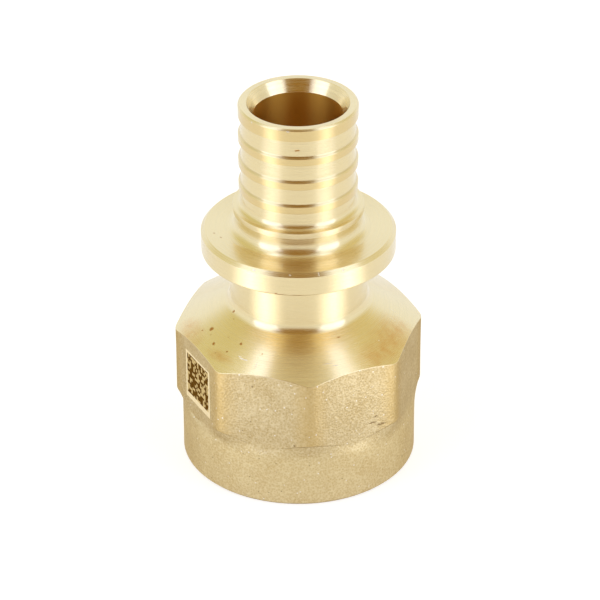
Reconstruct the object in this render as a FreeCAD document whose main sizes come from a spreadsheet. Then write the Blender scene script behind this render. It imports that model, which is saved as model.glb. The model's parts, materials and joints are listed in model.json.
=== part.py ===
import FreeCAD, Part
import Sketcher
import os

# Female threaded pipe adapter: one piece of brass, hot forged and then turned.
# From the bottom up it has a round base with the threaded mouth, an octagonal wrench body,
# a turned cone, a neck, a collar and a ribbed spigot that a plastic pipe is pushed over.
# Millimetres. The axis is Z, the mouth's face lies on Z = 0 and the spigot points up.
# Two opposite wrench flats face +X and -X.

NODE = "adapter_body"

# The driving sizes: name, value and what it measures.
DRIVING_SIZES = [
    ("base_radius", "16.5", "round base, outside"),
    ("base_height", "8.1", "round base, up to where the corners begin to overhang"),
    ("base_edge_chamfer", "0.3", "bevel round the mouth's face"),
    ("shoulder_depth", "0.6", "how far the base's top leans in to meet the flats"),
    ("shoulder_height", "1.6", "height of that lean"),
    ("across_flats", "32.4", "wrench size, flat to opposite flat"),
    ("corner_round", "2.4", "radius down the eight forged corners"),
    ("overhang_height", "2.2", "slope under the corners, its height"),
    ("overhang_reach", "0.9", "slope under the corners, how far it leans out"),
    ("flat_height", "10.24", "from that slope's top to the cone, at the middle of a flat"),
    ("cone_angle", "30", "turned cone, degrees from level"),
    ("neck_radius", "9.6", "neck between cone and collar"),
    ("neck_length", "7.75", "from the cone to the collar's underside"),
    ("neck_fillet", "2", "blend of neck and cone"),
    ("collar_radius", "13.5", "collar that stops the clamping sleeve"),
    ("collar_thickness", "3.4", "collar, along the axis"),
    ("collar_chamfer", "0.53", "bevel on the collar's upper edge"),
    ("collar_edge_break", "0.15", "bevel on the collar's lower edge"),
    ("foot_step", "0.65", "foot of the spigot, back from the ring above it"),
    ("foot_length", "2.5", "foot of the spigot, along the axis"),
    ("foot_fillet", "1.7", "blend of foot and collar"),
    ("seat_rise", "0.23", "seat of the pipe's end, out from the grooves' floor"),
    ("ring_step", "1.2", "ring that stops the pipe's end, out from the seat"),
    ("ring_bevel_height", "0.3", "bevel under the ring, its height"),
    ("ring_width", "0.9", "ring, along the axis"),
    ("ring_fillet", "1", "blend of ring and seat"),
    ("seat_length", "2.59", "from the ring up to the lowest rib"),
    ("spigot_radius", "8.2", "ribs, outside"),
    ("rib_land_length", "0.99", "flat top of a rib, along the axis"),
    ("rib_groove_length", "2.68", "groove between two ribs, along the axis"),
    ("rib_groove_count", "3", "grooves between ribs"),
    ("rib_groove_depth", "0.58", "depth of a groove under its upper rib"),
    ("rib_back_height", "0.2", "height of a rib's steep back"),
    ("rib_ramp_rise", "0.28", "how far a groove's floor rises on its way down"),
    ("rib_front_height", "0.28", "height of the short slope up to the next rib"),
    ("tip_length", "1.8", "plain end of the spigot"),
    ("tip_chamfer", "0.25", "bevel round the end of the spigot"),
    ("bore_radius", "6.05", "waterway"),
    ("countersink_radius", "7.05", "waterway's flared end, at the tip"),
    ("countersink_depth", "1.6", "waterway's flared end, along the axis"),
    ("thread_minor_radius", "12.0585", "crests of the parallel 3/4 inch pipe thread"),
    ("mouth_radius", "13.6", "bevel at the mouth, where it meets the face"),
    ("mouth_bevel_angle", "45", "that bevel, degrees from level"),
    ("chamber_depth", "17.5", "threaded chamber, down to its drilled shoulder"),
    ("shoulder_angle", "30", "drilled shoulder, degrees from level"),
]

doc = FreeCAD.newDocument("pipe_adapter")
sheet = doc.addObject("Spreadsheet::Sheet", "Sizes")
for row, (alias, value, meaning) in enumerate(DRIVING_SIZES, start=1):
    sheet.set(f"A{row}", meaning)
    sheet.set(f"B{row}", value)
    sheet.setAlias(f"B{row}", alias)
doc.recompute()


def size(alias):
    """The name of a cell, as the model's expressions write it."""
    return f"Sizes.{alias}"


def total(*terms):
    """An expression that adds the given terms up."""
    return "(" + " + ".join(terms) + ")"


def less(first, second):
    """An expression that takes the second term from the first."""
    return f"({first} - {second})"


# Heights above the mouth's face, each one the last plus one driving size.
apothem = f"({size('across_flats')} / 2)"
base_top = size("base_height")
overhang_top = total(base_top, size("overhang_height"))
cone_rim = total(overhang_top, size("flat_height"))
cone_slope = f"tan({size('cone_angle')})"
neck_foot = total(cone_rim, f"({apothem} - {size('neck_radius')}) * {cone_slope}")
collar_bottom = total(neck_foot, size("neck_length"))
collar_top = total(collar_bottom, size("collar_thickness"))
ring_underside = total(collar_top, size("foot_length"))
ring_bottom = total(ring_underside, size("ring_bevel_height"))
ring_top = total(ring_bottom, size("ring_width"))
lowest_rib = total(ring_top, size("seat_length"))
rib_pitch = total(size("rib_land_length"), size("rib_groove_length"))
top_rib = total(lowest_rib, f"{size('rib_groove_count')} * {rib_pitch}")
tip = total(top_rib, size("tip_length"))

# Radii that follow from the driving sizes.
groove_floor = less(size("spigot_radius"), size("rib_groove_depth"))
ramp_end = total(groove_floor, size("rib_ramp_rise"))
seat_radius = total(groove_floor, size("seat_rise"))
ring_radius = total(seat_radius, size("ring_step"))
foot_radius = less(ring_radius, size("foot_step"))

# A radius that is outside everything, for what the cutting tools sweep away.
outside = total(size("base_radius"), size("collar_radius"))
AXIS = "0"
MOUTH_FACE = "0"

body = doc.addObject("PartDesign::Body", NODE)
body.Label = NODE


def origin_feature(role):
    """One of the body's own planes or axes."""
    return next(item for item in body.Origin.OriginFeatures if item.Role == role)


def new_sketch(name, plane):
    sketch = body.newObject("Sketcher::SketchObject", name)
    sketch.AttachmentSupport = [(origin_feature(plane), "")]
    sketch.MapMode = "FlatFace"
    return sketch


def hold(sketch, kind, corner, expression):
    """Hold one coordinate of an outline's corner at what an expression says."""
    on_axis = {"DistanceX": -2, "DistanceY": -1}[kind]
    if expression == "0":
        sketch.addConstraint(Sketcher.Constraint("PointOnObject", corner, 1, on_axis))
        return
    value = float(sheet.evalExpression(expression))
    index = sketch.addConstraint(Sketcher.Constraint(kind, -1, 1, corner, 1, value))
    sketch.setExpression(f"Constraints[{index}]", expression)


def closed_outline(sketch, corners):
    """Straight runs from corner to corner, each corner a pair of expressions."""
    places = [[float(sheet.evalExpression(term)) for term in corner] for corner in corners]
    count = len(corners)
    for here in range(count):
        start = FreeCAD.Vector(*places[here], 0)
        end = FreeCAD.Vector(*places[(here + 1) % count], 0)
        sketch.addGeometry(Part.LineSegment(start, end), False)
    for here in range(count):
        sketch.addConstraint(Sketcher.Constraint("Coincident", here, 2, (here + 1) % count, 1))
    for here, (across, up) in enumerate(corners):
        hold(sketch, "DistanceX", here, across)
        hold(sketch, "DistanceY", here, up)


def turned(kind, name, corners):
    """A profile in the XZ plane turned about the axis: Revolution adds, Groove cuts."""
    sketch = new_sketch(f"{name}_profile", "XZ_Plane")
    closed_outline(sketch, corners)
    feature = body.newObject(f"PartDesign::{kind}", name)
    feature.Profile = (sketch, [""])
    feature.ReferenceAxis = (sketch, ["V_Axis"])
    feature.Angle = 360
    sketch.Visibility = False
    doc.recompute()
    return feature


def rounded(name, edges, alias):
    """A fillet along the given edges of the body's last feature."""
    last_feature = body.Tip
    feature = body.newObject("PartDesign::Fillet", name)
    feature.Base = (last_feature, edges)
    feature.setExpression("Radius", size(alias))
    doc.recompute()
    return feature


def circles(shape, radius_expression, height_expression):
    """Names of the circular edges about the axis at this radius and height."""
    radius = float(sheet.evalExpression(radius_expression))
    height = float(sheet.evalExpression(height_expression))
    near = 1e-4
    names = []
    for index, edge in enumerate(shape.Edges, start=1):
        if edge.Curve.TypeId != "Part::GeomCircle":
            continue
        if abs(edge.Curve.Radius - radius) < near and abs(edge.Curve.Center.z - height) < near:
            names.append(f"Edge{index}")
    return names


def upright_edges(shape):
    """Names of the straight edges that run along the axis."""
    names = []
    for index, edge in enumerate(shape.Edges, start=1):
        if edge.Curve.TypeId == "Part::GeomLine" and abs(edge.Curve.Direction.z) > 0.999:
            names.append(f"Edge{index}")
    return names


# Octagonal wrench body, as tall as the cone will leave it.
octagon = new_sketch("octagon_outline", "XY_Plane")
octagon.setExpression("AttachmentOffset.Base.z", base_top)
corner_offset = f"({apothem} * tan(22.5))"
octagon_corners = [
    (apothem, f"-{corner_offset}"),
    (apothem, corner_offset),
    (corner_offset, apothem),
    (f"-{corner_offset}", apothem),
    (f"-{apothem}", corner_offset),
    (f"-{apothem}", f"-{corner_offset}"),
    (f"-{corner_offset}", f"-{apothem}"),
    (corner_offset, f"-{apothem}"),
]
closed_outline(octagon, octagon_corners)
wrench_body = body.newObject("PartDesign::Pad", "wrench_body")
wrench_body.Profile = (octagon, [""])
wrench_body.setExpression("Length", less(neck_foot, base_top))
octagon.Visibility = False
doc.recompute()
rounded("forged_corners", upright_edges(wrench_body.Shape), "corner_round")

# The slope under the eight corners, where they run down into the round base.
turned("Groove", "corner_overhang", [
    (size("base_radius"), base_top),
    (outside, base_top),
    (outside, overhang_top),
    (total(size("base_radius"), size("overhang_reach")), overhang_top),
])

# The turned cone cuts the octagon's top, so each flat ends in an arch.
cone_at_outside = less(neck_foot, f"({outside} - {size('neck_radius')}) * {cone_slope}")
turned("Groove", "turned_cone", [
    (size("neck_radius"), neck_foot),
    (outside, cone_at_outside),
    (outside, neck_foot),
])

# Round base with a bevelled foot, leaning in at its top to meet the flats.
shoulder_top = total(base_top, size("shoulder_height"))
turned("Revolution", "round_base", [
    (AXIS, MOUTH_FACE),
    (less(size("base_radius"), size("base_edge_chamfer")), MOUTH_FACE),
    (size("base_radius"), size("base_edge_chamfer")),
    (size("base_radius"), base_top),
    (less(size("base_radius"), size("shoulder_depth")), shoulder_top),
    (AXIS, shoulder_top),
])

# Neck, collar, foot, stop ring and the plain blank of the spigot.
turned("Revolution", "neck_collar_spigot", [
    (AXIS, overhang_top),
    (size("neck_radius"), overhang_top),
    (size("neck_radius"), collar_bottom),
    (less(size("collar_radius"), size("collar_edge_break")), collar_bottom),
    (size("collar_radius"), total(collar_bottom, size("collar_edge_break"))),
    (size("collar_radius"), less(collar_top, size("collar_chamfer"))),
    (less(size("collar_radius"), size("collar_chamfer")), collar_top),
    (foot_radius, collar_top),
    (foot_radius, ring_underside),
    (ring_radius, ring_bottom),
    (ring_radius, ring_top),
    (seat_radius, ring_top),
    (groove_floor, less(lowest_rib, size("rib_back_height"))),
    (size("spigot_radius"), lowest_rib),
    (size("spigot_radius"), less(tip, size("tip_chamfer"))),
    (less(size("spigot_radius"), size("tip_chamfer")), tip),
    (AXIS, tip),
])

# One groove: a steep back under its upper rib, a floor that rises on its way down,
# and a short slope to the next rib. The others repeat it up the spigot.
groove_bottom = total(lowest_rib, size("rib_land_length"))
groove_top = total(groove_bottom, size("rib_groove_length"))
first_groove = turned("Groove", "rib_groove", [
    (size("spigot_radius"), groove_bottom),
    (ramp_end, total(groove_bottom, size("rib_front_height"))),
    (groove_floor, less(groove_top, size("rib_back_height"))),
    (size("spigot_radius"), groove_top),
    (outside, groove_top),
    (outside, groove_bottom),
])
ribs = body.newObject("PartDesign::LinearPattern", "spigot_ribs")
ribs.Originals = [first_groove]
ribs.Direction = (origin_feature("Z_Axis"), [""])
ribs.setExpression("Length", f"({size('rib_groove_count')} - 1) * {rib_pitch}")
ribs.setExpression("Occurrences", size("rib_groove_count"))
body.Tip = ribs
doc.recompute()

# The waterway runs right through and flares at the tip.
turned("Groove", "waterway", [
    (AXIS, MOUTH_FACE),
    (size("bore_radius"), MOUTH_FACE),
    (size("bore_radius"), less(tip, size("countersink_depth"))),
    (size("countersink_radius"), tip),
    (AXIS, tip),
])

# The threaded chamber: a bevelled mouth, the thread's crests as a plain wall, and a drilled
# shoulder down to the waterway.
mouth_bevel = f"({size('mouth_radius')} - {size('thread_minor_radius')}) * tan({size('mouth_bevel_angle')})"
shoulder_rise = f"({size('thread_minor_radius')} - {size('bore_radius')}) * tan({size('shoulder_angle')})"
turned("Groove", "threaded_chamber", [
    (AXIS, MOUTH_FACE),
    (size("mouth_radius"), MOUTH_FACE),
    (size("thread_minor_radius"), mouth_bevel),
    (size("thread_minor_radius"), size("chamber_depth")),
    (size("bore_radius"), total(size("chamber_depth"), shoulder_rise)),
    (AXIS, total(size("chamber_depth"), shoulder_rise)),
])

# The three turned blends.
rounded("neck_blend", circles(body.Shape, size("neck_radius"), neck_foot), "neck_fillet")
rounded("foot_blend", circles(body.Shape, foot_radius, collar_top), "foot_fillet")
rounded("ring_blend", circles(body.Shape, seat_radius, ring_top), "ring_fillet")
doc.recompute()

# Nothing is written unless every object built and the body is one sound solid.
for item in doc.Objects:
    faults = [state for state in item.State if state in ("Invalid", "Error")]
    if faults:
        raise RuntimeError(f"{item.Name} is {', '.join(faults)}")
if body.Shape.isNull() or not body.Shape.isValid():
    raise RuntimeError(f"{body.Label} has no valid shape")
if len(body.Shape.Solids) != 1:
    raise RuntimeError(f"{body.Label} has {len(body.Shape.Solids)} solids, not one")

os.makedirs("parts", exist_ok=True)
body.Shape.exportStep(f"parts/{body.Label}.step")
box = body.Shape.BoundBox
print(f"{body.Label}: {box.XLength:.2f} x {box.YLength:.2f} x {box.ZLength:.2f} mm,"
      f" {body.Shape.Volume / 1000:.3f} cm3, {len(body.Shape.Faces)} faces")
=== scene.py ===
import json
import math

import bmesh
import bpy
from mathutils import Matrix, Vector, noise


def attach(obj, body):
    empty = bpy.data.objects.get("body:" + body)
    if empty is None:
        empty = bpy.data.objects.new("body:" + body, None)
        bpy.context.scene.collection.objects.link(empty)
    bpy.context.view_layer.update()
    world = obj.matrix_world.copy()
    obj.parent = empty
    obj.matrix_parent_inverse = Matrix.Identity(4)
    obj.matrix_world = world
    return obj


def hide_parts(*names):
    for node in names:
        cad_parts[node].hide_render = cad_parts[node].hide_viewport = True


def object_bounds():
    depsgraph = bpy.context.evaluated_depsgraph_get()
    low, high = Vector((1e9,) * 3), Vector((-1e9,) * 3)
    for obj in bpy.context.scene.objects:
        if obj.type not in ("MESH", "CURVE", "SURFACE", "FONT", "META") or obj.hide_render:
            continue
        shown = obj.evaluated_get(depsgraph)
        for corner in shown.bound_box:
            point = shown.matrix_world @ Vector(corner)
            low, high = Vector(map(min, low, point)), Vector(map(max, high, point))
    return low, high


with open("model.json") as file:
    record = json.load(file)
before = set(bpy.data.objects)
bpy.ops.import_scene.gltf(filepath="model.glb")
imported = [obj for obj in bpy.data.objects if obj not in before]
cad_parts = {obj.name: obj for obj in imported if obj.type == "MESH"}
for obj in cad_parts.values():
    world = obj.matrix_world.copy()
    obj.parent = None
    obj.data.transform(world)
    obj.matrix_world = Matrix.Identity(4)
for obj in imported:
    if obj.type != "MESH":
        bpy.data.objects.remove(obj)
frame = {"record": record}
cad_box = [list(corner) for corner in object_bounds()]

# Sizes are in millimetres here, and the finished meshes are scaled to metres.
MM = 0.001
CAD_NODE = "adapter_body"
mounts = {mount["name"]: mount for mount in frame["record"]["mounts"]}

# From the part's own box and mounts.
BASE_RADIUS = cad_box[1][0] / MM
TIP = cad_box[1][2] / MM
APOTHEM = mounts["wrench_flat_a"]["pos_m"][0] / MM
SPIGOT_RADIUS = mounts["pipe_spigot"]["dims"]["r_mm"]
BORE_RADIUS = mounts["waterway"]["dims"]["r_mm"]
THREAD_MINOR = mounts["female_thread"]["dims"]["r_mm"]
COLLAR_TOP = mounts["sleeve_stop_face"]["pos_m"][2] / MM

# Collar, neck and cone, downwards.
COLLAR_RADIUS = 13.5
COLLAR_CHAMFER = 0.53
COLLAR_THICKNESS = 3.4
COLLAR_BOTTOM = COLLAR_TOP - COLLAR_THICKNESS
COLLAR_ROUND = 0.25
NECK_RADIUS = 9.6
NECK_LENGTH = 7.75
NECK_FOOT = COLLAR_BOTTOM - NECK_LENGTH
NECK_TOP_FILLET = 0.2
NECK_FILLET = 2.0
CONE_START = 0.8
CONE_ANGLE = math.radians(30)

# Spigot, upwards from the collar.
FOOT_RADIUS = 8.4
FOOT_HEIGHT = 2.5
FOOT_FILLET = 1.7
FOOT_TOP_FILLET = 0.12
RING_UNDERSIDE = COLLAR_TOP + FOOT_HEIGHT
RING_RADIUS = 9.05
RING_BEVEL = 0.3
RING_WIDTH = 0.9
RING_TOP = RING_UNDERSIDE + RING_BEVEL + RING_WIDTH
RING_FILLET = 1.0
SEAT_RADIUS = 7.85
SEAT_LENGTH = 2.59
RIB_LAND = 0.99
RIB_GROOVE = 2.68
RIB_PITCH = RIB_LAND + RIB_GROOVE
RIB_GROOVES = 3
RIB_DEPTH = 0.58
RIB_BACK = 0.2
RIB_BACK_FILLET = 0.15
RIB_RAMP = 0.28
RIB_RAMP_FILLET = 0.3
LOWEST_RIB = RING_TOP + SEAT_LENGTH
TIP_CHAMFER = 0.25
FLARE_RADIUS = 7.05
FLARE_DEPTH = 1.6

# Wrench body and round base. The shoulder between them reaches lowest on one side.
CORNERS = 8
CORNER_ROUND = 2.4
CREST_ROUND = 0.07
CREST_DROP = 1.7 * CREST_ROUND
FOLD_LOW = 8.8
FOLD_HIGH = 10.2
FOLD_HALF = 0.1
FOLD_STEP = 0.17
SHOULDER_FOOT = 7.7
SHOULDER_TILT = 0.7
SHOULDER_LOW_SIDE = math.radians(17.1)
BASE_CHAMFER = 0.3
FORGED_WAVE = 0.05
WAVE_LENGTH = 4.0

# Parallel 3/4 inch pipe thread: 14 turns to the inch, 55 degree flanks, rounded roots and crests.
THREAD_PITCH = 25.4 / 14
THREAD_DEPTH = 0.640327 * THREAD_PITCH
THREAD_ROUND = 0.137329 * THREAD_PITCH
THREAD_FLANK = math.radians(27.5)
MOUTH_RADIUS = 13.6
CHAMBER_DEPTH = 17.5
RUN_OUT_START = 14.6
RUN_OUT_END = 17.0
DRILL_SLOPE = math.tan(math.radians(30))
DRILL_ROUND = 0.3

# Mesh fineness.
TURN_STEPS = 192
CORNER_GATHER = 0.72
EDGE_BREAK = 0.07
EDGE_SUPPORT = 0.05
WELD = 0.001

# The piece's material slots after the first, which is the turned brass.
FORGED = 1
BORED = 2

# The camera's place was fitted to the circles of the part in the photograph.
CAMERA_TURN = math.radians(17.1)
CAMERA_BACK = 379.98
CAMERA_HEIGHT = 251.76
CAMERA_PITCH = math.radians(31.003)
CAMERA_ROLL = math.radians(-0.1415)
CAMERA_LENS = 190.056
CAMERA_SENSOR = 36
CAMERA_SHIFT = 0.00228


def cone_height(radius):
    return NECK_FOOT - (radius - NECK_RADIUS) * math.tan(CONE_ANGLE)


def turned_corners():
    """The turned outline as (radius, height, rounding), from the drilled shoulder up the
    waterway, over the tip and down the outside to the foot of the neck."""
    shoulder_top = CHAMBER_DEPTH + (THREAD_MINOR - BORE_RADIUS) * DRILL_SLOPE
    groove_floor = SPIGOT_RADIUS - RIB_DEPTH
    corners = [
        (THREAD_MINOR, CHAMBER_DEPTH, 0),
        (BORE_RADIUS, shoulder_top, DRILL_ROUND),
        (BORE_RADIUS, TIP - FLARE_DEPTH, EDGE_BREAK),
        (FLARE_RADIUS, TIP, EDGE_BREAK),
        (SPIGOT_RADIUS - TIP_CHAMFER, TIP, EDGE_BREAK),
        (SPIGOT_RADIUS, TIP - TIP_CHAMFER, EDGE_BREAK),
    ]
    for rib in range(RIB_GROOVES, 0, -1):
        land_foot = LOWEST_RIB + rib * RIB_PITCH
        next_land = land_foot - RIB_GROOVE
        corners += [
            (SPIGOT_RADIUS, land_foot, EDGE_BREAK),
            (groove_floor, land_foot - RIB_BACK, RIB_BACK_FILLET),
            (groove_floor + RIB_RAMP, next_land + RIB_RAMP, RIB_RAMP_FILLET),
            (SPIGOT_RADIUS, next_land, EDGE_BREAK),
        ]
    corners += [
        (SPIGOT_RADIUS, LOWEST_RIB, EDGE_BREAK),
        (groove_floor, LOWEST_RIB - RIB_BACK, RIB_BACK_FILLET),
        (SEAT_RADIUS, RING_TOP, RING_FILLET),
        (RING_RADIUS, RING_TOP, EDGE_BREAK),
        (RING_RADIUS, RING_UNDERSIDE + RING_BEVEL, EDGE_BREAK),
        (FOOT_RADIUS, RING_UNDERSIDE, FOOT_TOP_FILLET),
        (FOOT_RADIUS, COLLAR_TOP, FOOT_FILLET),
        (COLLAR_RADIUS - COLLAR_CHAMFER, COLLAR_TOP, EDGE_BREAK),
        (COLLAR_RADIUS, COLLAR_TOP - COLLAR_CHAMFER, EDGE_BREAK),
        (COLLAR_RADIUS, COLLAR_BOTTOM, COLLAR_ROUND),
        (NECK_RADIUS, COLLAR_BOTTOM, NECK_TOP_FILLET),
        (NECK_RADIUS, NECK_FOOT, NECK_FILLET),
    ]
    return corners


def mouth_corners():
    """The turned foot of the base, from the forged wall round to the mouth of the thread."""
    return [
        (BASE_RADIUS, 2 * BASE_CHAMFER, 0),
        (BASE_RADIUS, BASE_CHAMFER, EDGE_BREAK),
        (BASE_RADIUS - BASE_CHAMFER, 0, EDGE_BREAK),
        (MOUTH_RADIUS, 0, 0),
    ]


def octagon_radius(angle):
    """Distance from the axis to the wrench body at an angle from the middle of a flat."""
    half = math.pi / CORNERS
    off_flat = abs((angle + half) % (2 * half) - half)
    round_centre = (APOTHEM - CORNER_ROUND) / math.cos(half)
    round_start = math.atan2(round_centre * math.sin(half), APOTHEM)
    if off_flat < round_start:
        return APOTHEM / math.cos(off_flat)
    across = round_centre * math.sin(half - off_flat)
    return round_centre * math.cos(half - off_flat) + math.sqrt(CORNER_ROUND ** 2 - across ** 2)


CORNER_REACH = octagon_radius(math.pi / CORNERS)


def corner_share(angle):
    """How near an angle is to a corner, from 0 in the middle of a flat to 1."""
    return (octagon_radius(angle) - APOTHEM) / (CORNER_REACH - APOTHEM)


def forged_wave(angle, height):
    """The slight unevenness that the forging die leaves, always inwards."""
    place = Vector((BASE_RADIUS * math.cos(angle), BASE_RADIUS * math.sin(angle), height))
    fade = min(max((height - 2 * BASE_CHAMFER) / 2, 0), 1)
    return -FORGED_WAVE * fade * (0.5 + 0.5 * noise.noise(place / WAVE_LENGTH))


# The rings of the wrench body, downwards: the zone that each lies in, and its place in it.
WRENCH_RINGS = [("cone", place) for place in (0, 0.12, 0.25, 0.4, 0.55, 0.7, 0.85, 0.95, 0.99)]
WRENCH_RINGS += [("crest", place / 3) for place in range(4)]
WRENCH_RINGS += [("flat", place) for place in (0.012, 0.1, 0.2, 0.3, 0.4, 0.5, 0.6, 0.7, 0.8, 0.9, 0.98)]
WRENCH_RINGS += [("fold", place / 4) for place in range(5)]
WRENCH_RINGS += [("shoulder", place) for place in (0.03, 0.12, 0.25, 0.38, 0.5, 0.62, 0.75, 0.88, 1)]
WRENCH_RINGS += [("base", place / 8) for place in range(1, 8)]
FORGED_START = WRENCH_RINGS.index(("crest", 2 / 3))


def wrench_point(zone, place, angle):
    """Radius and height of a ring of the wrench body at an angle about the axis."""
    wall = octagon_radius(angle)
    share = corner_share(angle)
    crest = cone_height(wall - CREST_ROUND)
    fold = FOLD_LOW + (FOLD_HIGH - FOLD_LOW) * share ** 0.55
    step = FOLD_STEP * (0.05 + 0.95 * share)
    foot = SHOULDER_FOOT - SHOULDER_TILT * math.cos(angle - SHOULDER_LOW_SIDE)
    if zone == "cone":
        start = NECK_RADIUS + CONE_START
        radius = start + (wall - CREST_ROUND - start) * place
        return radius, cone_height(radius)
    if zone == "crest":
        turn = place * math.pi / 2
        return wall - CREST_ROUND * (1 - math.sin(turn)), crest - CREST_DROP * (1 - math.cos(turn))
    if zone == "flat":
        top = crest - CREST_DROP - 0.1 * CREST_ROUND
        height = top + (fold + FOLD_HALF - top) * place
        fade = min(1.0, 4 * place * (1 - place) + 0.2)
        return wall + fade * forged_wave(angle, height), height
    if zone == "fold":
        turn = place * math.pi / 2
        return wall - step * (1 - math.cos(turn)), fold + FOLD_HALF - 2 * FOLD_HALF * math.sin(turn)
    if zone == "shoulder":
        blend = place * place * (3 - 2 * place)
        radius = wall - step + (BASE_RADIUS - wall + step) * (0.4 * place + 0.6 * blend)
        height = fold - FOLD_HALF + (foot - fold + FOLD_HALF) * place
        return radius + place * forged_wave(angle, height), height
    height = foot + (2 * BASE_CHAMFER - foot) * place
    return BASE_RADIUS + forged_wave(angle, height), height


def add_outline(bm, corners):
    """Adds an outline as a wire and rounds its corners. It gives the corners' vertices, of which
    only the sharp ones are still there."""
    verts = [bm.verts.new((radius, 0, height)) for radius, height, _ in corners]
    for pair in zip(verts, verts[1:]):
        bm.edges.new(pair)
    for vert, (_, _, rounding) in zip(verts, corners):
        if not rounding:
            continue
        ways = [edge.other_vert(vert).co - vert.co for edge in vert.link_edges]
        reach = rounding / math.tan(ways[0].angle(ways[1]) / 2)
        reach = min(reach, 0.96 * min(way.length for way in ways))
        bmesh.ops.bevel(bm, geom=[vert], offset=reach, offset_type="OFFSET", profile=0.5,
                        segments=8 if rounding > 0.9 else 3, affect="VERTICES", material=-1)
    return verts


def hold_flats(bm, ring_number):
    """Splits each long turned edge close to its ends, so that its flat stays flat when shaded."""
    for edge in list(bm.edges):
        first, last = edge.verts
        length = edge.calc_length()
        if first[ring_number] or last[ring_number] or length < 8 * EDGE_SUPPORT:
            continue
        rest, _ = bmesh.utils.edge_split(edge, first, EDGE_SUPPORT / length)
        rest = edge if last in edge.verts else rest
        bmesh.utils.edge_split(rest, last, EDGE_SUPPORT / rest.calc_length())


def gathered(angle):
    """Angles drawn towards the octagon's corners, where the surface turns fastest."""
    return angle + CORNER_GATHER / CORNERS * math.sin(CORNERS * angle)


def turned_body():
    """The body without its thread, spun about the axis and pressed into its octagon. Its
    attributes say where the corners and the ribs' lands are, and where shade is painted: in the
    forging's fold, on the ramp under each rib and on the base's foot chamfer."""
    bm = bmesh.new()
    ring_number = bm.verts.layers.int.new("ring")
    corner = bm.verts.layers.float.new("corner")
    fold = bm.verts.layers.float.new("fold")
    land = bm.verts.layers.float.new("land")
    turned = turned_corners()
    rings = [(*wrench_point(zone, place, 0), 0) for zone, place in WRENCH_RINGS]
    wire = add_outline(bm, turned + rings + mouth_corners())
    for number, vert in enumerate(wire[len(turned):len(turned) + len(rings)], start=1):
        vert[ring_number] = number
    hold_flats(bm, ring_number)
    bmesh.ops.spin(bm, geom=bm.verts[:] + bm.edges[:], cent=(0, 0, 0), axis=(0, 0, 1),
                   dvec=(0, 0, 0), angle=2 * math.pi, steps=TURN_STEPS, use_merge=True)
    for vert in bm.verts:
        angle = gathered(math.atan2(vert.co.y, vert.co.x))
        radius = math.hypot(vert.co.x, vert.co.y)
        height = vert.co.z
        if vert[ring_number]:
            zone, place = WRENCH_RINGS[vert[ring_number] - 1]
            radius, height = wrench_point(zone, place, angle)
            if zone in ("crest", "flat", "fold"):
                vert[corner] = corner_share(angle)
            # Painted shade in the fold's crease, strongest at the corners.
            if zone == "fold" and 0.4 < place < 0.9:
                vert[fold] = corner_share(angle) ** 2
        elif height > LOWEST_RIB - EDGE_BREAK and radius > FLARE_RADIUS:
            # Marks the ribs' lands, which the turned brass paints a deeper gold as a painted reflection.
            vert[land] = abs(radius - SPIGOT_RADIUS) < 0.02
            # Marks the ramp under each rib, where the turned brass paints shade.
            over_land = (height - LOWEST_RIB) % RIB_PITCH - RIB_LAND
            if height < TIP - RIB_LAND and 0.03 < over_land < RIB_RAMP + 0.1:
                vert[fold] = 1
        vert.co = (radius * math.cos(angle), radius * math.sin(angle), height)
    for face in bm.faces:
        middle = face.calc_center_median()
        at_foot = middle.z < 2 and math.hypot(middle.x, middle.y) > BASE_RADIUS - BASE_CHAMFER
        # Painted shade on the base's foot chamfer.
        if at_foot and middle.z < BASE_CHAMFER:
            for vert in face.verts:
                vert[fold] = 0.5
        if at_foot or all(vert[ring_number] > FORGED_START for vert in face.verts):
            face.material_index = FORGED
        elif all(math.hypot(vert.co.x, vert.co.y) < BORE_RADIUS + WELD for vert in face.verts):
            face.material_index = BORED
    return bm


def thread_profile():
    """One pitch of the thread from crest to crest, as (radius, height)."""
    crest_centre = THREAD_MINOR + THREAD_ROUND
    root_centre = THREAD_MINOR + THREAD_DEPTH - THREAD_ROUND
    lean = math.pi / 2 - THREAD_FLANK
    crest = [(crest_centre - THREAD_ROUND * math.cos(lean * step / 3),
              THREAD_ROUND * math.sin(lean * step / 3)) for step in range(4)]
    root = [(root_centre + THREAD_ROUND * math.cos(lean * step / 3),
             THREAD_PITCH / 2 - THREAD_ROUND * math.sin(lean * step / 3)) for step in (3, 2, 1, 0)]
    falling = crest + root
    return falling + [(radius, THREAD_PITCH - height) for radius, height in reversed(falling[:-1])]


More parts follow.
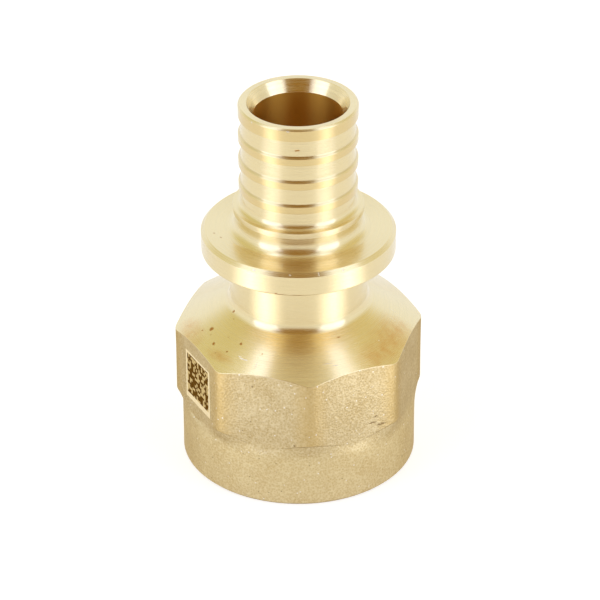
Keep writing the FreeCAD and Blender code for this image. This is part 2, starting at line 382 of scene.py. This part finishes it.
def thread():
    """The female thread: one turn wound from its profile, then copied up the chamber."""
    bm = bmesh.new()
    verts = [bm.verts.new((radius, 0, height - 2 * THREAD_PITCH)) for radius, height in thread_profile()]
    edges = [bm.edges.new(pair) for pair in zip(verts, verts[1:])]
    bmesh.ops.spin(bm, geom=verts + edges, cent=(0, 0, 0), axis=(0, 0, 1), angle=2 * math.pi,
                   dvec=(0, 0, THREAD_PITCH / TURN_STEPS), steps=TURN_STEPS)
    turn = bm.verts[:] + bm.edges[:] + bm.faces[:]
    for number in range(1, math.ceil(CHAMBER_DEPTH / THREAD_PITCH) + 3):
        copy = bmesh.ops.duplicate(bm, geom=turn)["geom"]
        bmesh.ops.translate(bm, vec=(0, 0, number * THREAD_PITCH),
                            verts=[part for part in copy if isinstance(part, bmesh.types.BMVert)])
    bmesh.ops.remove_doubles(bm, verts=bm.verts, dist=WELD)
    for vert in bm.verts:
        plain = math.atan2(vert.co.y, vert.co.x)
        angle = gathered(plain)
        height = vert.co.z + (angle - plain) / (2 * math.pi) * THREAD_PITCH
        fade = (RUN_OUT_END - height) / (RUN_OUT_END - RUN_OUT_START)
        radius = THREAD_MINOR + (math.hypot(vert.co.x, vert.co.y) - THREAD_MINOR) * min(max(fade, 0), 1)
        height = min(max(height, 0), CHAMBER_DEPTH)
        radius = max(radius, MOUTH_RADIUS - height)
        vert.co = (radius * math.cos(angle), radius * math.sin(angle), height)
    return bm


def brass_adapter(materials):
    """The finished piece: body and thread welded into one closed mesh, in metres."""
    body = turned_body()
    wound = thread()
    mesh = bpy.data.meshes.new("brass_adapter")
    wound.to_mesh(mesh)
    wound.free()
    body.from_mesh(mesh)
    bmesh.ops.remove_doubles(body, verts=body.verts, dist=2 * WELD)
    bmesh.ops.dissolve_degenerate(body, dist=WELD, edges=body.edges)
    bmesh.ops.recalc_face_normals(body, faces=body.faces)
    bmesh.ops.scale(body, vec=(MM, MM, MM), verts=body.verts)
    body.to_mesh(mesh)
    body.free()
    mesh.shade_smooth()
    for material in materials:
        mesh.materials.append(material)
    piece = bpy.data.objects.new("brass_adapter", mesh)
    bpy.context.collection.objects.link(piece)
    return piece


def linear(colour):
    """An sRGB hex colour as the linear colour that a shader takes."""
    shares = [int(colour[at:at + 2], 16) / 255 for at in (1, 3, 5)]
    return [share / 12.92 if share <= 0.04045 else ((share + 0.055) / 1.055) ** 2.4
            for share in shares] + [1]


def add(tree, kind, sockets=(), **settings):
    """Adds a node with its settings; a socket's value is a number, a colour or a link."""
    node = tree.nodes.new(kind)
    for name, value in settings.items():
        setattr(node, name, value)
    for socket, value in dict(sockets).items():
        if isinstance(value, bpy.types.NodeSocket):
            tree.links.new(value, node.inputs[socket])
        else:
            node.inputs[socket].default_value = value
    return node


def new_material(name):
    material = bpy.data.materials.new(name)
    material.use_nodes = True
    material.node_tree.nodes.clear()
    return material, material.node_tree


# Marks on the cone, read off the photograph: degrees round the axis, distance from the axis,
# length down the slope and width round it.
CONE_SPOTS = [
    (-137, 9.95, 0.65, 0.5), (-131, 10.6, 0.2, 0.2), (-137.6, 13.35, 0.9, 0.8), (-142, 14.3, 0.35, 0.35),
    (-134, 13.9, 0.25, 0.2), (-127, 14.5, 0.55, 0.6), (-122, 12.8, 0.25, 0.2), (-111, 12.85, 0.45, 0.5),
    (-116, 14.5, 0.35, 0.35), (-121.5, 15.3, 0.2, 0.25), (-95, 13.3, 0.25, 0.25), (-44, 11.3, 0.25, 0.4)]
CONE_SCRATCHES = [
    (-104, 14.6, 0.22, 1.4), (-107, 14.4, 0.16, 0.6), (-96, 14.9, 1.6, 0.07), (-57, 14.4, 0.12, 1.7),
    (-53, 14.8, 0.1, 1.1), (-20, 13.9, 0.2, 0.3), (4, 13.4, 1.3, 0.06), (13, 13.2, 1.6, 0.06)]
CONE_STAINS = [(-9, 14.5, 7.5, 17), (-26, 15.2, 5, 10), (-147, 15.6, 4.5, 9), (-118, 15.4, 2, 6)]

# Spots on the collar's top: degrees, distance from the axis, length outwards and width round it.
COLLAR_SPOTS = [(-152, 11.8, 0.35, 0.25), (-145, 11.2, 0.25, 0.3)]

# Nicks in the chamfers of the collar and the tip: degrees, length and width.
COLLAR_NICKS = [(-78, 0.3, 0.35), (-61, 0.5, 0.2), (-46, 0.5, 0.25), (-100, 0.3, 0.6)]
TIP_NICKS = [(-122, 0.3, 0.3), (-83, 0.25, 0.5)]

# Marks on upright walls: degrees, height, length down the wall and width round it. They are a
# spot in the uppermost groove, a line of painted shade along the collar's lower edge with a nick
# in it, and pits and small folds in the forging.
GROOVE_SPOTS = [(-74, TIP - 3.3, 0.3, 0.9)]
COLLAR_EDGE_SHADE_AND_NICK = [
    (-93, COLLAR_BOTTOM + 0.15, 0.14, 2.6), (-84, COLLAR_BOTTOM + 0.15, 0.14, 2.6),
    (-86, COLLAR_BOTTOM + 0.15, 0.35, 0.35), (-74, COLLAR_BOTTOM + 0.12, 0.1, 2.6)]
FORGING_MARKS = [
    (-75, 10.0, 0.4, 0.4), (-11, 2.3, 0.5, 0.35), (-35, 11.3, 0.3, 1.8), (-30, 10.7, 0.35, 2.2),
    (-33, 12.2, 0.25, 1.2), (-96, 18.6, 0.5, 0.4)]
UPRIGHT = math.pi / 2


def down_the_cone(marks):
    return [(turn, radius, cone_height(radius), CONE_ANGLE, length, width)
            for turn, radius, length, width in marks]


def on_a_top(marks, height):
    return [(turn, radius, height, 0, length, width) for turn, radius, length, width in marks]


def on_a_chamfer(marks, radius, height):
    return [(turn, radius, height, UPRIGHT / 2, length, width) for turn, length, width in marks]


def on_a_wall(marks, radius):
    return [(turn, radius, height, UPRIGHT, length, width) for turn, height, length, width in marks]


def on_the_forging(marks):
    """Marks on the octagon's wall, or on the round base's below it."""
    return [(turn, octagon_radius(math.radians(turn)) if height > FOLD_LOW else BASE_RADIUS,
             height, UPRIGHT, length, width) for turn, height, length, width in marks]


def marked(tree, place, marks, soft):
    """How far a point lies in the nearest of a list of oval marks, from 0 outside it to 1."""
    most = 0.0
    for turn, radius, height, tilt, length, width in marks:
        turn = math.radians(turn)
        centre = Vector((radius * math.cos(turn), radius * math.sin(turn), height)) * MM
        oval = add(tree, "ShaderNodeMapping", {
            "Vector": place, "Location": centre, "Rotation": (0, tilt, turn),
            "Scale": (length / 2 * MM, width / 2 * MM, 0.5 * MM)}, vector_type="TEXTURE")
        away = add(tree, "ShaderNodeVectorMath", {0: oval.outputs[0]}, operation="LENGTH")
        inside = add(tree, "ShaderNodeMapRange", {
            "Value": away.outputs["Value"], "From Min": 1, "From Max": 1 - soft})
        most = add(tree, "ShaderNodeMath", {0: most, 1: inside.outputs[0]}, operation="MAXIMUM").outputs[0]
    return most


def uneven(tree, place, size, reach):
    """A place moved about by noise, so that what is drawn there gets a ragged edge."""
    cloud = add(tree, "ShaderNodeTexNoise", {"Vector": place, "Scale": 1 / (size * MM), "Detail": 2})
    shift = add(tree, "ShaderNodeVectorMath", {
        0: cloud.outputs["Color"], 1: (0.5, 0.5, 0.5)}, operation="SUBTRACT")
    return add(tree, "ShaderNodeVectorMath", {0: shift.outputs[0], 1: (reach * MM,) * 3, 2: place},
               operation="MULTIPLY_ADD").outputs[0]


def cutter_rings(tree, spacing):
    """Noise that runs round the axis in rings, spacing millimetres apart."""
    place = add(tree, "ShaderNodeSeparateXYZ", {0: add(tree, "ShaderNodeTexCoord").outputs["Object"]})
    plan = add(tree, "ShaderNodeCombineXYZ", {0: place.outputs[0], 1: place.outputs[1]})
    radius = add(tree, "ShaderNodeVectorMath", {0: plan.outputs[0]}, operation="LENGTH")
    line = add(tree, "ShaderNodeCombineXYZ", {0: radius.outputs["Value"], 1: place.outputs[2]})
    fine = add(tree, "ShaderNodeVectorMath", {
        0: line.outputs[0], "Scale": 1 / (spacing * MM)}, operation="SCALE")
    return add(tree, "ShaderNodeTexNoise", {
        "Vector": fine.outputs[0], "Scale": 1, "Detail": 1, "Roughness": 0.5}).outputs[0]


# Turned brass: bright, with cutter rings that draw every highlight out along the outline. They
# are far finer than a pixel, so some are drawn coarser to show at all. A thin clear gloss makes
# the metal paler at a low angle. Its tarnish spots, stains and nicks are the photograph's. The
# ribs' lands are painted a deeper gold as a painted reflection, and painted shade lies on the
# ramp under each rib and along the collar's lower edge.
FINE_RINGS = 0.02
COARSE_RINGS = 0.35
STAIN_CLOUD = 1.5


def turned_brass():
    material, tree = new_material("brass_turned_bright")
    place = add(tree, "ShaderNodeTexCoord").outputs["Object"]
    ragged = uneven(tree, place, 0.4, 0.3)
    gloss = add(tree, "ShaderNodeMapRange", {
        "Value": cutter_rings(tree, FINE_RINGS), "From Min": 0.3, "From Max": 0.7,
        "To Min": 0.12, "To Max": 0.38})
    spots_and_edge_shade = down_the_cone(CONE_SPOTS) + on_a_top(COLLAR_SPOTS, COLLAR_TOP)
    spots_and_edge_shade += on_a_wall(GROOVE_SPOTS, SPIGOT_RADIUS - RIB_DEPTH + RIB_RAMP / 2)
    # A line of painted shade along the collar's lower edge, with a nick in it.
    spots_and_edge_shade += on_a_wall(COLLAR_EDGE_SHADE_AND_NICK, COLLAR_RADIUS)
    spots_and_edge_shade = marked(tree, ragged, spots_and_edge_shade, 0.5)
    nicks = on_a_chamfer(TIP_NICKS, SPIGOT_RADIUS, TIP - TIP_CHAMFER)
    nicks += on_a_chamfer(COLLAR_NICKS, COLLAR_RADIUS - COLLAR_CHAMFER / 2,
                          COLLAR_TOP - COLLAR_CHAMFER / 2)
    scratches = marked(tree, ragged, down_the_cone(CONE_SCRATCHES) + nicks, 0.3)
    cloud = add(tree, "ShaderNodeTexNoise", {
        "Vector": place, "Scale": 1 / (STAIN_CLOUD * MM), "Detail": 5, "Roughness": 0.65})
    cloud = add(tree, "ShaderNodeMapRange", {"Value": cloud.outputs[0], "From Min": 0.25, "From Max": 0.65})
    stain = marked(tree, ragged, down_the_cone(CONE_STAINS), 1)
    stain = add(tree, "ShaderNodeMath", {0: stain, 1: cloud.outputs[0]}, operation="MULTIPLY")
    # The ribs' lands are painted a deeper gold: a painted reflection.
    land = add(tree, "ShaderNodeAttribute", attribute_name="land")
    fold = add(tree, "ShaderNodeAttribute", attribute_name="fold")
    # Painted shade on the ramp under each rib.
    groove_shade = add(tree, "ShaderNodeMath", {0: fold.outputs["Fac"], 1: 0.22}, operation="MULTIPLY")
    colour = linear("#F0DEAD")
    for share, hex_colour in (
            (land.outputs["Fac"], "#E8CF92"), (groove_shade.outputs[0], "#A8853C"), (stain.outputs[0], "#DEAC66"),
            (spots_and_edge_shade, "#B4781A"), (scratches, "#FFF3DC")):
        colour = add(tree, "ShaderNodeMix", {0: share, 6: colour, 7: linear(hex_colour)},
                     data_type="RGBA").outputs[2]
    rough = add(tree, "ShaderNodeMath", {0: scratches, 1: 0.3, 2: gloss.outputs[0]}, operation="MULTIPLY_ADD")
    scored = add(tree, "ShaderNodeMath", {
        0: scratches, 1: -50, 2: cutter_rings(tree, COARSE_RINGS)}, operation="MULTIPLY_ADD")
    bump = add(tree, "ShaderNodeBump", {
        "Height": scored.outputs[0], "Strength": 1, "Distance": 0.00012 * MM})
    tangent = add(tree, "ShaderNodeTangent", direction_type="RADIAL", axis="Z")
    shader = add(tree, "ShaderNodeBsdfPrincipled", {
        "Base Color": colour, "Metallic": 1, "Roughness": rough.outputs[0],
        "Coat Weight": 1, "Coat Roughness": 0.12,
        "Anisotropic": 0.95, "Anisotropic Rotation": 0.25, "Tangent": tangent.outputs[0],
        "Normal": bump.outputs[0]})
    add(tree, "ShaderNodeOutputMaterial", {"Surface": shader.outputs[0]})
    return material


# Bored brass: dull, and coloured redder and darker than the turned brass, so that the bore goes dark inside
# as painted shade.
def bored_brass():
    material, tree = new_material("brass_bored_painted_shade")
    tangent = add(tree, "ShaderNodeTangent", direction_type="RADIAL", axis="Z")
    shader = add(tree, "ShaderNodeBsdfPrincipled", {
        "Base Color": linear("#DDA94A"), "Metallic": 1, "Roughness": 0.42,
        "Anisotropic": 0.9, "Anisotropic Rotation": 0.25, "Tangent": tangent.outputs[0]})
    add(tree, "ShaderNodeOutputMaterial", {"Surface": shader.outputs[0]})
    return material


# The laser's square: a cleaned, pale field on one flat, off its middle, with a block of burnt,
# dark cells. The cells are random and say nothing.
PATCH_TURN = math.radians(-135)
PATCH_ASIDE = 0.5
PATCH_CELL = 0.4
PATCH_BURNT = 0.6


def laser_patch(tree, place):
    """Masks of the laser's square: where it is cleaned, its block of cells, and those burnt."""
    masks = {}
    for name, half_width, half_height, height in (
            ("cleaned", 3.65, 3.8, 14.7), ("cells", 3.23, 3.23, 14.95)):
        centre = Vector((APOTHEM * math.cos(PATCH_TURN), APOTHEM * math.sin(PATCH_TURN), height))
        centre += Vector((-math.sin(PATCH_TURN), math.cos(PATCH_TURN), 0)) * PATCH_ASIDE
        square = add(tree, "ShaderNodeMapping", {
            "Vector": place, "Location": centre * MM, "Rotation": (0, 0, PATCH_TURN),
            "Scale": (MM, half_width * MM, half_height * MM)}, vector_type="TEXTURE")
        away = add(tree, "ShaderNodeVectorMath", {0: square.outputs[0]}, operation="ABSOLUTE")
        away = add(tree, "ShaderNodeSeparateXYZ", {0: away.outputs[0]})
        far = add(tree, "ShaderNodeMath", {0: away.outputs[0], 1: away.outputs[1]}, operation="MAXIMUM")
        far = add(tree, "ShaderNodeMath", {0: far.outputs[0], 1: away.outputs[2]}, operation="MAXIMUM")
        inside = add(tree, "ShaderNodeMath", {0: far.outputs[0], 1: 1}, operation="LESS_THAN")
        masks[name] = inside.outputs[0]
    level = add(tree, "ShaderNodeMapping", {
        "Vector": uneven(tree, place, 0.25, 0.1), "Rotation": (0, 0, PATCH_TURN),
        "Scale": (1, PATCH_CELL * MM, PATCH_CELL * MM)}, vector_type="TEXTURE")
    cell = add(tree, "ShaderNodeVectorMath", {0: level.outputs[0]}, operation="FLOOR")
    cell = add(tree, "ShaderNodeVectorMath", {0: cell.outputs[0], 1: (0, 1, 1)}, operation="MULTIPLY")
    chance = add(tree, "ShaderNodeTexWhiteNoise", {"Vector": cell.outputs[0]})
    burnt = add(tree, "ShaderNodeMath", {0: chance.outputs[0], 1: PATCH_BURNT}, operation="LESS_THAN")
    burnt = add(tree, "ShaderNodeMath", {0: burnt.outputs[0], 1: masks["cells"]}, operation="MULTIPLY")
    masks["burnt"] = burnt.outputs[0]
    return masks


# Forged brass, shot-blasted: a pale, matt skin of small craters that scatters the light, with
# duller patches. Its tone follows the craters' relief, darker in their hollows as painted shade.
# Dark flecks are pits, and bright flecks are painted glints. It is painted paler towards the round
# base, as painted light bounced from the floor. Its corners are rubbed to a deeper gold, and
# shade is painted into the forging's fold and on the base's foot chamfer.
CRATER = 0.3
FLECK_SPACING = 1.1
DULL_PATCH = 4
CRATER_DEPTH = 0.035


def forged_brass():
    material, tree = new_material("brass_forged_blasted")
    place = add(tree, "ShaderNodeTexCoord").outputs["Object"]
    craters = add(tree, "ShaderNodeTexVoronoi", {"Vector": place, "Scale": 1 / (CRATER * MM)})
    grain = add(tree, "ShaderNodeTexNoise", {
        "Vector": place, "Scale": 1 / (CRATER * MM), "Detail": 2, "Roughness": 0.6})
    patches = add(tree, "ShaderNodeTexNoise", {
        "Vector": place, "Scale": 1 / (DULL_PATCH * MM), "Detail": 4, "Roughness": 0.6})
    flecks = add(tree, "ShaderNodeTexVoronoi", {"Vector": place, "Scale": 1 / (FLECK_SPACING * MM)})
    fleck = add(tree, "ShaderNodeMapRange", {
        "Value": flecks.outputs["Distance"], "From Min": 0.12, "From Max": 0.05})
    dark = add(tree, "ShaderNodeMath", {0: flecks.outputs["Color"], 1: 0.3}, operation="LESS_THAN")
    pits = add(tree, "ShaderNodeMath", {0: fleck.outputs[0], 1: dark.outputs[0]}, operation="MULTIPLY")
    # The bright flecks are painted glints.
    painted_glints = add(tree, "ShaderNodeMath", {0: fleck.outputs[0], 1: pits.outputs[0]}, operation="SUBTRACT")
    # The tone follows the craters' relief, darker in their hollows: painted shade, with duller patches at
    # random.
    relief = add(tree, "ShaderNodeMath", {0: craters.outputs[0], 1: grain.outputs[0]}, operation="ADD")
    tone = add(tree, "ShaderNodeMath", {0: relief.outputs[0], 1: patches.outputs[0]}, operation="ADD")
    tone = add(tree, "ShaderNodeMapRange", {"Value": tone.outputs[0], "From Min": 0.9, "From Max": 1.9})
    height = add(tree, "ShaderNodeSeparateXYZ", {0: place}).outputs[2]
    # Painted paler towards the round base: painted light bounced up from the floor.
    low = add(tree, "ShaderNodeMapRange", {"Value": height, "From Min": 10 * MM, "From Max": 7 * MM})
    hollow = add(tree, "ShaderNodeMix", {
        0: low.outputs[0], 6: linear("#BBA371"), 7: linear("#CBB27D")}, data_type="RGBA")
    peak = add(tree, "ShaderNodeMix", {
        0: low.outputs[0], 6: linear("#DBC9A0"), 7: linear("#E4D2A4")}, data_type="RGBA")
    skin = add(tree, "ShaderNodeMix", {
        0: tone.outputs[0], 6: hollow.outputs[2], 7: peak.outputs[2]}, data_type="RGBA").outputs[2]
    corner = add(tree, "ShaderNodeAttribute", attribute_name="corner").outputs["Fac"]
    worn = add(tree, "ShaderNodeMath", {0: patches.outputs[0], 1: 0.5, 2: corner}, operation="MULTIPLY_ADD")
    rubbed = add(tree, "ShaderNodeMapRange", {
        "Value": worn.outputs[0], "From Min": 0.6, "From Max": 1.3, "To Max": 0.55})
    # Painted shade in the forging's fold and on the base's foot chamfer, together with the dark pits and
    # marks.
    fold = add(tree, "ShaderNodeAttribute", attribute_name="fold").outputs["Fac"]
    marks_and_painted_shade = add(tree, "ShaderNodeMath", {0: fold, 1: pits.outputs[0]}, operation="MAXIMUM")
    marks = marked(tree, uneven(tree, place, 0.4, 0.5), on_the_forging(FORGING_MARKS), 0.6)
    marks_and_painted_shade = add(tree, "ShaderNodeMath", {0: marks_and_painted_shade.outputs[0], 1: marks}, operation="MAXIMUM")
    marks_and_painted_shade = add(tree, "ShaderNodeMath", {0: marks_and_painted_shade.outputs[0], 1: 0.7}, operation="MULTIPLY")
    patch = laser_patch(tree, place)
    for share, hex_colour in (
            (rubbed.outputs[0], "#CBAC69"), (painted_glints.outputs[0], "#F8F1E7"), (marks_and_painted_shade.outputs[0], "#7A5C33"),
            (patch["cleaned"], "#FFEFC8"), (patch["cells"], "#DCC48C"), (patch["burnt"], "#66420A")):
        skin = add(tree, "ShaderNodeMix", {0: share, 6: skin, 7: linear(hex_colour)},
                   data_type="RGBA").outputs[2]
    relief = add(tree, "ShaderNodeMath", {
        0: marks_and_painted_shade.outputs[0], 1: -0.8, 2: relief.outputs[0]}, operation="MULTIPLY_ADD")
    bump = add(tree, "ShaderNodeBump", {
        "Height": relief.outputs[0], "Strength": 1, "Distance": CRATER_DEPTH * MM})
    shader = add(tree, "ShaderNodeBsdfPrincipled", {
        "Base Color": skin, "Metallic": 1, "Specular Tint": linear("#DCD0BC"), "Roughness": 0.44,
        "Normal": bump.outputs[0]})
    add(tree, "ShaderNodeOutputMaterial", {"Surface": shader.outputs[0]})
    return material


adapter = brass_adapter([turned_brass(), forged_brass(), bored_brass()])
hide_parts(CAD_NODE)
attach(adapter, "root")


def around(azimuth, elevation, distance):
    """A place seen from the part: azimuth from the camera's side to the picture's right."""
    turn = math.radians(azimuth) + CAMERA_TURN
    rise = math.radians(elevation)
    return distance * Vector((
        math.sin(turn) * math.cos(rise), -math.cos(turn) * math.cos(rise), math.sin(rise)))


# The studio's lengths are in metres. The lamps face the middle of the part.
AIM = Vector((0, 0, 0.025))
LAMP_COLOUR = (0.83, 0.95, 1.5)
STRIP_WIDTHS = (0.14, 0.28, 0.42, 0.56, 0.7)
CARD_AWAY = 0.075


def softbox(name, azimuth, elevation, distance, width, height, brightness):
    """A rectangular lamp that faces the part; its brightness is that of its surface."""
    light = bpy.data.lights.new(name, "AREA")
    light.shape = "RECTANGLE"
    light.size = width
    light.size_y = height
    light.energy = brightness * math.pi * width * height
    light.color = LAMP_COLOUR
    lamp = bpy.data.objects.new(name, light)
    lamp.location = AIM + around(azimuth, elevation, distance)
    lamp.rotation_euler = (lamp.location - AIM).to_track_quat("Z", "Y").to_euler()
    bpy.context.collection.objects.link(lamp)
    return lamp


# On each side stand a tall panel, a lamp high up and a strip lamp. The strip is five lamps of
# growing width, so that it is brightest in its middle. Before it, five white cards lie on the
# floor in the same way, a fraction of a millimetre above each other. They glow upwards, as the
# brightly lit floor there would, and the camera can't see them.
for side, strip, panel, over, rise, over_brightness in (
        ("left", -53, -66, -95, 71, 1), ("right", 55, 68, 98, 69, 0.8)):
    softbox("panel_" + side, panel, 34, 1.1, 0.4, 1.2, 0.2)
    softbox("over_" + side, over, rise, 1, 0.4, 0.12, over_brightness)
    softbox("over_wide_" + side, over, rise, 1, 0.4, 0.2, 0.5 * over_brightness)
    for width in STRIP_WIDTHS:
        softbox("strip_" + side, strip, 20, 1, width, 0.95, 0.72)
        card = softbox("card_" + side, strip, 0, CARD_AWAY, CARD_AWAY * width, 0.07, 0.26)
        card.location.z = width * MM
        card.rotation_euler = (math.pi, 0, math.radians(strip) + CAMERA_TURN)
        card.data.color = (1, 1, 1)
        card.visible_camera = False


# The floor is a pale card that takes the part's shadow. To the camera and in reflections it also
# glows, so that it looks white.
def white_floor():
    material, tree = new_material("floor_white_card")
    diffuse = add(tree, "ShaderNodeBsdfDiffuse", {"Color": (0.5, 0.49, 0.45, 1)})
    path = add(tree, "ShaderNodeLightPath").outputs
    seen = add(tree, "ShaderNodeMath", {
        0: path["Is Camera Ray"], 1: path["Is Glossy Ray"]}, operation="MAXIMUM")
    seen = add(tree, "ShaderNodeMath", {
        0: seen.outputs[0], 1: path["Is Transmission Ray"]}, operation="MAXIMUM")
    level = add(tree, "ShaderNodeMath", {
        0: path["Is Camera Ray"], 1: 0.19, 2: 0.5}, operation="MULTIPLY_ADD")
    glow = add(tree, "ShaderNodeEmission", {"Color": (1, 1, 1, 1), "Strength": level.outputs[0]})
    both = add(tree, "ShaderNodeAddShader", {0: diffuse.outputs[0], 1: glow.outputs[0]})
    mix = add(tree, "ShaderNodeMixShader", {0: seen.outputs[0], 1: diffuse.outputs[0], 2: both.outputs[0]})
    add(tree, "ShaderNodeOutputMaterial", {"Surface": mix.outputs[0]})
    return material


floor_mesh = bpy.data.meshes.new("floor")
floor_grid = bmesh.new()
bmesh.ops.create_grid(floor_grid, x_segments=1, y_segments=1, size=3)
floor_grid.to_mesh(floor_mesh)
floor_grid.free()
floor_mesh.materials.append(white_floor())
floor = bpy.data.objects.new("floor", floor_mesh)
bpy.context.collection.objects.link(floor)

# The room is white, with darker places that the brass shows as amber: overhead, above the
# camera, and behind the part on both sides. Each has its direction in degrees, where it begins
# and ends to fade in degrees from its middle, its strength and its colour.
ROOM = (0.98, 1.01, 1.03, 1)
GAPS = [
    (0, 88, 6, 20, 0.6, (0.65, 0.55, 0.2, 1)),
    (-2, 44, 23, 37, 1, (0.3, 0.14, 0, 1)),
    (-122, 47, 8, 36, 0.65, (0.6, 0.49, 0, 1)),
    (122, 47, 8, 36, 0.65, (0.64, 0.48, 0, 1))]
world = bpy.data.worlds.new("studio")
bpy.context.scene.world = world
world.use_nodes = True
sky = world.node_tree
sky.nodes.clear()
direction = add(sky, "ShaderNodeTexCoord").outputs["Generated"]
room = ROOM
for azimuth, elevation, inner, outer, strength, tint in GAPS:
    toward = add(sky, "ShaderNodeVectorMath", {
        0: direction, 1: around(azimuth, elevation, 1)}, operation="DOT_PRODUCT")
    gap = add(sky, "ShaderNodeMapRange", {
        "Value": toward.outputs["Value"], "From Min": math.cos(math.radians(outer)),
        "From Max": math.cos(math.radians(inner)), "To Max": strength}, interpolation_type="SMOOTHSTEP")
    room = add(sky, "ShaderNodeMix", {0: gap.outputs[0], 6: room, 7: tint}, data_type="RGBA").outputs[2]
backing = add(sky, "ShaderNodeBackground", {"Color": room, "Strength": 1})
add(sky, "ShaderNodeOutputWorld", {"Surface": backing.outputs[0]})

camera_data = bpy.data.cameras.new("camera")
camera = bpy.data.objects.new("camera", camera_data)
bpy.context.collection.objects.link(camera)
bpy.context.scene.camera = camera
camera_data.sensor_width = CAMERA_SENSOR
camera_data.lens = CAMERA_LENS
camera_data.shift_x = CAMERA_SHIFT
camera.location = Vector((
    CAMERA_BACK * math.sin(CAMERA_TURN), -CAMERA_BACK * math.cos(CAMERA_TURN), CAMERA_HEIGHT)) * MM
aim = Matrix.Rotation(CAMERA_TURN, 4, "Z") @ Matrix.Rotation(math.pi / 2 - CAMERA_PITCH, 4, "X")
camera.rotation_euler = (aim @ Matrix.Rotation(CAMERA_ROLL, 4, "Z")).to_euler()

bpy.context.scene.view_settings.view_transform = "Standard"
